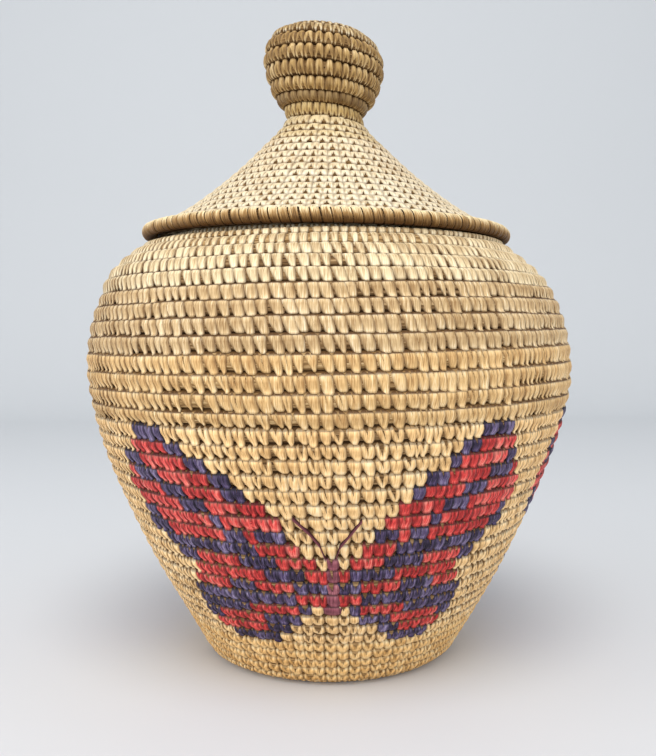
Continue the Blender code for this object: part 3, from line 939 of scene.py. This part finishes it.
# %% Points of the figure, as a course below its top and degrees from its middle
FIGURE_TOP_TURN = 31
FIGURE_PLACES = [0.0, 114.0, 237.0]
WING_INNER = [(0, 34.5), (4, 17.0), (10, 2.0), (12, 2.0), (16, 17.0)]
WING_OUTER = [(0, 43.5), (2, 48.0), (4, 50.5), (7, 49.0), (10, 36.6), (12, 41.4), (14, 41.6), (16, 33.5)]
WIDER_LEFT = [(0, 0.075), (16, 0.02)]
OUT = 60.0
PURPLE_BANDS = {
    # first course, last course, then where the band begins and ends at each of the two
    "wing tip": (0, 0, 0.0, OUT, 0.0, OUT),
    "upper border": (1, 4, 0.0, 35.0, 0.0, 21.8),
    "upper patch": (7, 7, 0.0, 17.2, 0.0, 17.2),
    "outer spot": (2, 2, 43.8, OUT, 43.8, OUT),
    "outer border": (6, 7, 45.5, OUT, 42.4, OUT),
    "vein from the edge": (3, 5, 38.6, 46.0, 26.3, 34.0),
    "vein to the middle": (6, 7, 25.0, 27.3, 20.2, 25.2),
    "lower border": (8, 8, 17.2, OUT, 17.2, OUT),
    "lower corner": (9, 9, 35.8, OUT, 35.8, OUT),
    "vein to the body": (9, 11, 12.1, 23.0, 0.0, 9.1),
    "hind spot": (11, 11, 19.4, 28.4, 19.4, 28.4),
    "hind vein": (12, 12, 8.7, OUT, 8.7, OUT),
    "hind outer border": (13, 14, 22.2, OUT, 35.2, OUT),
    "hind corner": (13, 13, 0.0, 8.5, 0.0, 8.5),
    "hind inner border": (14, 15, 0.0, 19.2, 0.0, 21.3),
    "hind tip": (16, 16, 0.0, OUT, 0.0, OUT),
}
BODY_COURSES, BODY_HALF = (9, 13), 1.2
# degrees over which the stitches beside the body give way
GIVING_WAY = 16


def figure_place(turn, centre):
    """Course below the figure's top and degrees right of its middle, for a place on the coil."""
    degrees = ((turn - 0.5) * 360 - centre + 180) % 360 - 180
    row = int(round(FIGURE_TOP_TURN - (turn - 0.5 - (degrees + centre) / 360)))
    return row, degrees


def wing_dye(row, degrees):
    """Red, purple or nothing on a wing."""
    if not 0 <= row <= WING_INNER[-1][0]:
        return None
    wider = line_at(WIDER_LEFT, row)
    off = degrees / (1 - wider) if degrees > 0 else -degrees / (1 + wider)
    if not line_at(WING_INNER, row) <= off <= line_at(WING_OUTER, row):
        return None
    for first, last, *edges in PURPLE_BANDS.values():
        if first <= row <= last:
            share = (row - first) / max(1, last - first)
            begin, end = [edges[k] + (edges[k + 2] - edges[k]) * share for k in (0, 1)]
            if begin <= off <= end:
                return "purple"
    return "red"


def dye_of(turn):
    for centre in FIGURE_PLACES:
        row, degrees = figure_place(turn, centre)
        if BODY_COURSES[0] <= row <= BODY_COURSES[1] and abs(degrees) < BODY_HALF:
            return "plum"
        dye = wing_dye(row, degrees)
        if dye:
            return dye
    return "natural"


def centre_bodies(turns):
    """Moves stitches a little, so that one stands on the middle line of each figure's body."""
    moved = turns.copy()
    for centre in FIGURE_PLACES:
        for row in range(BODY_COURSES[0] - 2, BODY_COURSES[1] + 4):
            middle = FIGURE_TOP_TURN - row + 0.5 + centre / 360
            near = int(np.argmin(abs(turns - middle)))
            moved += (middle - turns[near]) * np.exp(-((turns - middle) * 360 / GIVING_WAY) ** 2)
    return moved


basket_turns = centre_bodies(basket_turns)
basket_dyes = np.array([dye_of(t) for t in basket_turns])
print("dyed stitches:", {dye: int((basket_dyes == dye).sum()) for dye in ("red", "purple", "plum")})

# %% [markdown]
# ## Bundles and stitches of every stretch
#
# Each stretch of the frame is replaced by its wound bundle, and gets its stitches as pieces of their own, one
# for each colour of strand. On the lid the straw turns from the knob's brown to the cone's pale in steps, and
# under the knob it is painted darker, as painted shade, so the neck and the upper cone are sewn in several
# parts. The bundle is painted darker, as painted shade, where little light reaches it.

# %% Laying all the courses
BASKET_STEPS, CONE_STEPS, KNOB_STEPS, BUNDLE_SIDES = 96, 90, 60, 20
END_CLEAR = 0.04
WIDEST_STITCH = 0.0085
# a stitch is as wide as the gaps on its two sides, by the mean of both and the larger one
MEAN_SHARE, LARGER_SHARE = 0.4, 0.6
STRAND, BRIDGE = 0.00042, 0.0013
PLAIN, PETALS = (SQUARENESS, 1.0, "outer", 1.0), (2.1, 1.0, "knob", 0.6)
DYED = (SQUARENESS, 0.8, "cone", 1.0)
# by straw: squareness, roundness, kind of stitch, and how dark the painted shadow line between two courses is
FORMS = {"wall": (SQUARENESS, 1.0, "outer", 0.75), "belly": (2.0, 1.0, "outer", 1.0),
         "shoulder": (1.95, 1.0, "outer", 1.3), "mouth": (1.95, 1.0, "outer", 1.6),
         "base": (2.4, 0.7, "cone", 0.4), "knob": PETALS, "knob_side": PETALS,
         "knob_under": (2.1, 1.0, "knob", 0.7), "neck": (2.4, 0.6, "cone", 0.5),
         "cone_top": (2.5, 0.35, "cone", 0.7), "cone_middle": (2.6, 0.35, "cone", 0.6),
         "lid": (2.7, 0.35, "cone", 0.55), "red": DYED, "purple": DYED, "plum": PLAIN}


def course_numbers(coil, turns):
    return {"turn": turns, "low": coil.edge(turns - 1), "high": coil.edge(turns), "girth": coil.girth(turns)}


def stitch_numbers(coil, turns, chosen, sewing):
    numbers = course_numbers(coil, turns)
    gaps = np.diff(turns)
    both = np.array([np.append(gaps, gaps[-1]), np.insert(gaps, 0, gaps[0])])
    width = (MEAN_SHARE * both.mean(axis=0) + LARGER_SHARE * both.max(axis=0)) * numbers["girth"]
    numbers["width"] = np.minimum(width, WIDEST_STITCH) * sewing.spread
    return {name: values[chosen] for name, values in numbers.items()}


def wind_piece(name, body, numbers, inputs, sides, material, stands_for=None):
    """A bundle, in place of the solid that it stands for."""
    piece = run_tree(wind, name, body, numbers, True, {**inputs, "Sides": sides, "Material": material})
    if stands_for:
        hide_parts(stands_for)


def sew_piece(name, body, numbers, inputs, sewing, seed):
    """Stitches of one straw. Returns the number of their faces."""
    square, roundness, kind, shade = FORMS[sewing.straw]
    piece = run_tree(sew, name, body, numbers, False, {
        **inputs, **{label.title(): value for label, value in sewing._asdict().items()},
        "Squareness": square, "Roundness": roundness, "Strand": STRAND, "Bridge": BRIDGE, "Row Shade": shade,
        "Seed": seed, "Outer Stitches": shelves[kind], "Inner Stitches": shelves["inner"],
        "Material": straws[sewing.straw]})
    return len(piece.data.polygons)


def cover(name, number, coil, turns, body, inputs, steps, grass, slot, parts):
    """Winds a stretch and sews its parts, each a label, the stitches in it, their sewing and slot. The slot
    is not used.
    """
    first, last = {**BASKET_STRETCHES, **LID_STRETCHES}[name]
    ends = (first + END_CLEAR if first == 0 else first, last - END_CLEAR if last > coil.turns else last)
    numbers = course_numbers(coil, np.linspace(*ends, int((last - first) * steps) + 1))
    wind_piece(name.replace("_coil", "_bundle"), body, numbers, inputs, BUNDLE_SIDES, grasses[grass],
               name)
    return sum(sew_piece(name.replace("coil", label), body, stitch_numbers(coil, turns, chosen, sewing),
                         inputs, sewing, 100 * number + 10 * k)
               for k, (label, chosen, sewing, slot) in enumerate(parts) if chosen.any())


# %% The basket
DYED_TAPER, DYED_NOTCH, DYED_SLANT = 0.6, 0.85, 0.7
SPREAD_MORE = {"red": 0.09, "purple": 0.09, "plum": 0.58}
basket_inputs = {**LAY_BASKET, "Line": basket_curve, "Wall": WALL, "Squareness": SQUARENESS}


def dyed(sewing, dye):
    """Dyed stitches are wider and narrow less towards their tips, so the figure is nearly closed."""
    return sewing._replace(taper=sewing.taper * DYED_TAPER, notch=sewing.notch * DYED_NOTCH, straw=dye,
                           slant=sewing.slant * DYED_SLANT, spread=sewing.spread + SPREAD_MORE[dye])


faces = 0
for number, (name, (first, last)) in enumerate(BASKET_STRETCHES.items()):
    figured, sewing = name.startswith("figure"), SEWING[name]
    slot = "figure_grass" if figured else "base_grass" if name in ("base_coil", "foot_coil") else "wall_grass"
    # the shaded bundle paints shade into the gaps of the figure, the shoulder and the mouth
    grass = "shaded" if figured or name.startswith(("shoulder", "mouth")) else "grass"
    here = (basket_turns >= first) & (basket_turns < last)
    parts = [("stitches", here & (basket_dyes == "natural"), sewing, slot)]
    parts += [(dye + "_stitches", here & (basket_dyes == dye), dyed(sewing, dye), "dyed_" + dye)
              for dye in SPREAD_MORE]
    faces += cover(name, number, basket_coil, basket_turns, "basket", basket_inputs, BASKET_STEPS, grass,
                   slot, parts)
print("faces in the basket's stitches:", faces)

# %% The lid
FIRST_LID_SEED = 30
FINER_FROM = 12
# where the straw changes within a stretch: an ending for the name, the straw, and its first and last turn
# the neck's top and middle take the knob's side and underside straws, painted darker as shade under the knob
LID_PARTS = {"neck_coil": [("_top", "knob_side", 7, 8), ("_middle", "knob_under", 8, 9), ("", "neck", 9, 10)],
             "upper_cone_coil": [("_top", "cone_top", 10, 13), ("", "cone_middle", 13, 18)]}
lid_inputs = {**LAY_LID, "Line": lid_curve, "Wall": LID_WALL, "Squareness": SQUARENESS}
faces = 0
for number, (name, (first, last)) in enumerate(LID_STRETCHES.items()):
    knob, sewing = name.startswith("knob"), SEWING[name]
    slot = "knob_grass" if knob else "lid_grass"
    parts = [("stitches" + label, (lid_turns >= begin) & (lid_turns < end), sewing._replace(straw=straw),
              slot) for label, straw, begin, end in LID_PARTS.get(name, [("", sewing.straw, first, last)])]
    # the lid's bundle is the dark one, painted darker as shade in its gaps
    faces += cover(name, FIRST_LID_SEED + number, lid_coil, lid_turns, "lid",
                   {**lid_inputs, "Squareness": ROUNDER if knob else SQUARENESS},
                   KNOB_STEPS if last < FINER_FROM else CONE_STEPS, "dark", slot, parts)
print("faces in the lid's stitches:", faces)

# %% [markdown]
# ## The feelers
#
# Each butterfly has two feelers. They are single threads, laid over the finished courses and caught down at
# their ends, so they are wound here like a very thin bundle that stands a little off the wall.

# %% Threads for the feelers, as courses below the figure's top and degrees from its middle
THREAD, THREAD_RAISED, THREAD_STEPS, THREAD_SIDES = 0.0019, 0.0012, 40, 8
FEELERS = {"left": [(8.7, -1.2), (7.6, -2.5), (6.7, -4.7), (5.6, -8.2)],
           "right": [(8.7, 1.2), (7.75, 2.1), (6.75, 4.6), (5.8, 6.8)]}
for number, centre in enumerate(FIGURE_PLACES):
    for side, points in FEELERS.items():
        steps = np.linspace(0, len(points) - 1, THREAD_STEPS)
        rows, degrees = [np.interp(steps, range(len(points)), column) for column in zip(*points)]
        course = FIGURE_TOP_TURN + 0.5 - rows + (degrees + centre) / 360
        middle = basket_coil.middle(course)
        numbers = {"turn": 0.5 + (degrees + centre) / 360, "low": middle - THREAD / 2,
                   "high": middle + THREAD / 2, "girth": basket_coil.girth(course),
                   "raised": np.full(THREAD_STEPS, THREAD_RAISED)}
        wind_piece(f"feeler_{number + 1}_{side}", "basket", numbers,
                   {**basket_inputs, "Wall": THREAD, "Squareness": 2.0}, THREAD_SIDES, straws["plum"])
print("feelers:", len(FEELERS) * len(FIGURE_PLACES), "thread", THREAD)

# %% [markdown]
# ## The brim
#
# The lid ends in a thick round bundle. It is wrapped all round with fine strands, which go on in groups of
# three, each group leaning a little, with a dark groove between groups. The wraps are painted lighter on top
# and towards the basket's two sides, where the light falls along them, as painted light, and darker
# underneath and at the edges of each strand, as painted shade.

# %% Wrapping a bundle all round
LOOP_STEPS = 18
# share of the way across the strand, and rise
LOOP_PLAN = [(-0.5, -0.6), (-0.36, 1.0), (0.36, 1.0), (0.5, -0.6)]
# a loop's length in courses, and the least and most of its rise
LOOP_LENGTH, LOOP_RISE = 3.0, (0.6, 1.25)
# painted light: lighter on top, towards the sides, and a little everywhere
TOP_LIGHT, SIDE_LIGHT, LEAST_LIGHT = 1.25, 0.6, 0.02
# painted shade under the brim: where it begins, and how strong it is at the sides and at the front
UNDER_FROM, UNDER_SIDE, UNDER_FRONT = 0.58, 0.8, 1.2


def loop_mesh():
    """One strand once round a bundle. Its corners keep the share of the way round and across."""
    # the strand's two sunk edges carry painted shade
    corners = [((j / LOOP_STEPS, share, 0.0), rise, float(rise < 0))
               for j in range(LOOP_STEPS) for share, rise in LOOP_PLAN]
    wide, faces = len(LOOP_PLAN), []
    for j in range(LOOP_STEPS):
        for c in range(wide - 1):
            a, b = j * wide + c, (j + 1) % LOOP_STEPS * wide + c
            faces.append([a, b, b + 1, a + 1])
    return plan_mesh("loop", faces, corners, "leg", "rise", "edge")


def wrapping_tree():
    given, out = piece_tree("wrap", floats("Wall", "Squareness", "Strand", "Slant") + [
        ("Seed", "Int"), ("Loops", "Collection")])
    points = store(given["Geometry"], "tone", chance((0.0, 1.0), given["Seed"], 1))
    points = store(points, "odd", chance(LOOP_RISE, given["Seed"], 2))
    made = on_points(points, given["Loops"], 0)
    around, share, _ = named_parts("leg")
    turn, low, high, width, girth, sink, rise, odd, tone, edge = named(
        "turn", "low", "high", "width", "girth", "sink", "rise", "odd", "tone", "edge")
    angle = around * FULL_TURN
    u, v = squared(given, angle.cos(), angle.sin())
    course, rise = high - low, rise * odd * given["Strand"] - sink
    along = low + course * (u * 0.5 + 0.5) + u * rise
    lift = v * (given["Wall"] * 0.5 + rise) - given["Wall"] * 0.5
    shift = share * width + given["Slant"] * u * course * 0.5
    made = store(made, "strand", vector(share * width, around * course * LOOP_LENGTH, tone * 0.5))
    # painted light on the top and towards the sides, painted shade underneath
    facing = abs((turn * FULL_TURN).cos())
    made = store(made, "crown", u * TOP_LIGHT + (1.0 - facing) * SIDE_LIGHT + LEAST_LIGHT)
    under = (u * -1.0 - UNDER_FROM) * (facing * UNDER_FRONT + UNDER_SIDE)
    made = store(made, "edge", edge.most(under))
    return closed(given, out, laid(given, made, turn + shift / girth, along, lift))


wrap = wrapping_tree()
shelves["loops"] = shelf("loops", [loop_mesh()])
print("nodes in the wrapping tree:", len(wrap.nodes))


# %% The brim's bundle and its wraps
def ring_numbers(turns, low, high, girth, **more):
    same = np.ones(len(turns))
    return {"turn": turns, "low": same * low, "high": same * high, "girth": same * girth, **more}


def upright_line(name, radius, low, high):
    """A ring's side view, a short upright line."""
    return line_object(name, Profile([(radius, low), (radius, high)], 1))


GROUP, GROUPS = 3, 132
GROUP_WIDTH, GROUP_ODD, WRAP_WIDTH = 0.78, 0.05, 1.25
OUTER_SINK, SINK_ODD = 0.00007, 0.00003
BRIM_BUNDLE, BRIM_INSET, BRIM_STEPS, BRIM_SIDES = 0.0058, 0.0010, 145, 16
BRIM_RAISED = BRIM + 0.0010
brim_curve = upright_line("brim_line", BRIM_RADIUS - BRIM_INSET, BRIM_RAISED - BRIM_BUNDLE / 2,
                          BRIM_RAISED + BRIM_BUNDLE / 2)
RING_INPUTS = {**LAY_LID, "Hand": 1.0, "Lean From": 1.0}
brim_inputs = {**RING_INPUTS, "Line": brim_curve, "Wall": BRIM_BUNDLE, "Squareness": ROUNDER}
brim_girth = FULL_TURN * (BRIM_RADIUS - BRIM_THICKNESS / 2)
# the brim's bundle is the deep one, nearly black, as painted shade in the grooves and under the brim
wind_piece("brim_bundle", "lid", ring_numbers(np.linspace(0, 1, BRIM_STEPS), 0, BRIM_BUNDLE, brim_girth),
           brim_inputs, BRIM_SIDES, grasses["deep"], "brim_coil")
odd = np.random.default_rng(41)
group_turn = (np.arange(GROUPS) + odd.normal(0, GROUP_ODD, GROUPS)) / GROUPS
in_group = (np.arange(GROUP) - (GROUP - 1) / 2) / GROUP
brim_turns = (group_turn[:, None] + in_group[None, :] * GROUP_WIDTH / GROUPS).ravel()
sink = np.tile([OUTER_SINK, 0.0, OUTER_SINK], GROUPS) + odd.uniform(-SINK_ODD, SINK_ODD, len(brim_turns))
run_tree(wrap, "brim_wraps", "lid", ring_numbers(
    brim_turns, 0, BRIM_BUNDLE, brim_girth, sink=sink,
    width=np.full(len(brim_turns), brim_girth / GROUPS / GROUP * WRAP_WIDTH)), False, {
    **brim_inputs, "Strand": 0.00022, "Slant": -0.22, "Seed": 5, "Loops": shelves["loops"],
    "Material": straws["brim"]})
print("strands round the brim:", len(brim_turns))

# %% [markdown]
# ## The collar and the two start knots
#
# Inside the mouth hangs a collar of two courses, which keeps the lid in place. Each coil starts from a small
# knot, a first tight turn of the bundle.

# %% Where the collar hangs
KNOB_RADIUS = max(radius for radius, rise in LID_LINE if rise > WAIST_RISE)
collar_radius = float(basket_line.place(basket_line.end, WALL)[0]) - COLLAR_CLEARANCE
under = sorted(zip(*lid_line.place(lid_line.length, LID_WALL + SEAT_GAP)))
collar_top = line_at([p for p in under if p[0] > KNOB_RADIUS], collar_radius)
collar_curve = upright_line("collar_line", collar_radius, collar_top - COLLAR_DEPTH, collar_top + 0.0005)
collar_inputs = {**RING_INPUTS, "Line": collar_curve, "Wall": COLLAR_WALL, "Squareness": SQUARENESS}
print("collar hangs from", round(collar_top, 4))

# %% Short rings of bundle with their stitches
KNOT_HOLE, KNOT_ROUND, KNOT_STEPS, KNOT_STITCHES, KNOT_SEED = 0.0003, 1.2, 25, 9, 5000
COLLAR_STEPS, COLLAR_STITCHES, COLLAR_SEED, RING_SIDES = 97, 100, 4000, 12
collar_sewing = SEWING["lower_cone_coil"]._replace(spread=1.0)
knot_sewing = Sewing(None, taper=0.5, notch=0.3, overlap=0.0, slant=0.1, uneven=1.0, spread=1.1, straw="base")


def ring(name, body, inputs, low, high, girth, steps, stitches, shift, sewing, slot, seed, stands_for=None):
    """One turn of bundle, sewn. Its name has a place for what the piece is."""
    wind_piece(name.format("bundle"), body, ring_numbers(np.linspace(0, 1, steps), low, high, girth), inputs,
               RING_SIDES, grasses["grass"], stands_for)
    width = np.full(stitches, girth / stitches * sewing.spread)
    turns = (np.arange(stitches) + shift) / stitches
    faces = sew_piece(name.format("stitches"), body, ring_numbers(turns, low, high, girth, width=width),
                      inputs, sewing, seed)
    print(name.format("stitches"), "faces:", faces)


for k, solid in enumerate(("collar_coil", None)):
    ring(f"collar_{{}}_{k + 1}", "lid", collar_inputs, k * COLLAR_DEPTH / 2, (k + 1) * COLLAR_DEPTH / 2,
         FULL_TURN * collar_radius, COLLAR_STEPS, COLLAR_STITCHES, 0.5 * k, collar_sewing, "lid_grass",
         COLLAR_SEED + k, solid)
for name, inputs, body, radius, straw in (
        ("base_start", basket_inputs, "basket", START_RADIUS, "base"),
        ("knob_start", lid_inputs, "lid", KNOB_START_RADIUS, "knob")):
    ring(name + "_{}", body, inputs, KNOT_HOLE, radius, math.pi * radius * KNOT_ROUND, KNOT_STEPS,
         KNOT_STITCHES, 0, knot_sewing._replace(straw=straw), "start_grass", KNOT_SEED, name)

# %% [markdown]
# ## Clearing the helpers away
#
# The side views and the single stitches have done their work.

# %% Remove the helpers
for thing in (basket_curve, lid_curve, brim_curve, collar_curve):
    bpy.data.objects.remove(thing)
for collection in shelves.values():
    for thing in list(collection.objects):
        bpy.data.objects.remove(thing)
    bpy.data.collections.remove(collection)

# %% [markdown]
# ## Floor, light and camera
#
# The basket stands on a pale sweep under soft light from above and in front. The camera has the photograph's
# place: a little above the lid's brim, looking slightly down.

# %% Stage
FLOOR = -0.0006
FRONT, BEND_AT, BEND, HALF_WIDE, TOP = -1.6, 1.0, 0.5, 2.4, 2.4
FLOOR_COLOUR, BACK_COLOUR = (0.625, 0.638, 0.655), (0.67, 0.69, 0.705)


def sweep():
    """A floor that curves up into a wall behind."""
    bend = [(BEND_AT + BEND * math.sin(a), BEND - BEND * math.cos(a))
            for a in np.linspace(0, math.pi / 2, 16)]
    steps = [(FRONT, 0.0)] + bend + [(BEND_AT + BEND, TOP)]
    corners = [(x, y, FLOOR + z) for y, z in steps for x in (-HALF_WIDE, HALF_WIDE)]
    faces = [(2 * k, 2 * k + 1, 2 * k + 3, 2 * k + 2) for k in range(len(steps) - 1)]
    mesh = bpy.data.meshes.new("sweep")
    mesh.from_pydata(corners, [], faces)
    mesh.shade_smooth()
    material, shader = new_material("pale_sweep", 0.9)
    where = add("TexCoord").also("Object")
    grain = noise(where, 3.0, 3.0) * 0.06
    value = where.parts()[1] * 0.6 + 0.25 + grain
    plug(ramp(value, (0.25, 0.95), (FLOOR_COLOUR, BACK_COLOUR)), shader, "Base Color")
    mesh.materials.append(material)
    in_scene("sweep", mesh)


sweep()

# %% Light
LIT = (0.0, 0.0, 0.14)
LAMPS = {
    # width, power, place and colour
    "key": (0.9, 12.3, (0.0, -0.70, 1.40), (1.0, 0.98, 0.95)),
    "front": (1.2, 8.5, (0.0, -1.35, 0.10), (1.0, 0.97, 0.95)),
    "left": (1.6, 12.0, (-1.20, -0.55, 0.30), (1.0, 0.98, 0.97)),
    "right": (1.6, 5.3, (1.20, -0.55, 0.30), (1.0, 0.98, 0.97)),
}
for name, (size, power, place, colour) in LAMPS.items():
    light = bpy.data.lights.new(name, "AREA")
    light.shape, light.size, light.energy, light.color = "DISK", size, power, colour
    thing = in_scene(name, light)
    thing.location = place
    aim = [t - p for t, p in zip(LIT, place)]
    yaw, reach = math.atan2(aim[1], aim[0]), math.hypot(aim[0], aim[1])
    thing.rotation_euler = (math.atan2(reach, -aim[2]), 0.0, yaw - math.pi / 2)
world = bpy.data.worlds.new("soft_room")
world.use_nodes = True
sky = world.node_tree.nodes["Background"]
sky.inputs["Color"].default_value = (0.88, 0.91, 0.96, 1.0)
sky.inputs["Strength"].default_value = 0.72
bpy.context.scene.world = world

# %% Camera
FOCAL_PIXELS, SHIFT_PIXELS, LONG_SIDE, SENSOR = 854.5, -1.54, 756, 36.0
PITCH, ROLL = 0.0543, 0.0061
camera_data = bpy.data.cameras.new("camera")
camera_data.sensor_width = SENSOR
camera_data.lens = SENSOR * FOCAL_PIXELS / LONG_SIDE
camera_data.shift_x = SHIFT_PIXELS / LONG_SIDE
camera = in_scene("camera", camera_data)
camera.location = (0.0, -0.4057, 0.1468)
camera.rotation_mode = "ZYX"
camera.rotation_euler = (math.pi / 2 - PITCH, 0.0, -ROLL)
bpy.context.scene.camera = camera
bpy.context.scene.view_settings.view_transform = "Standard"
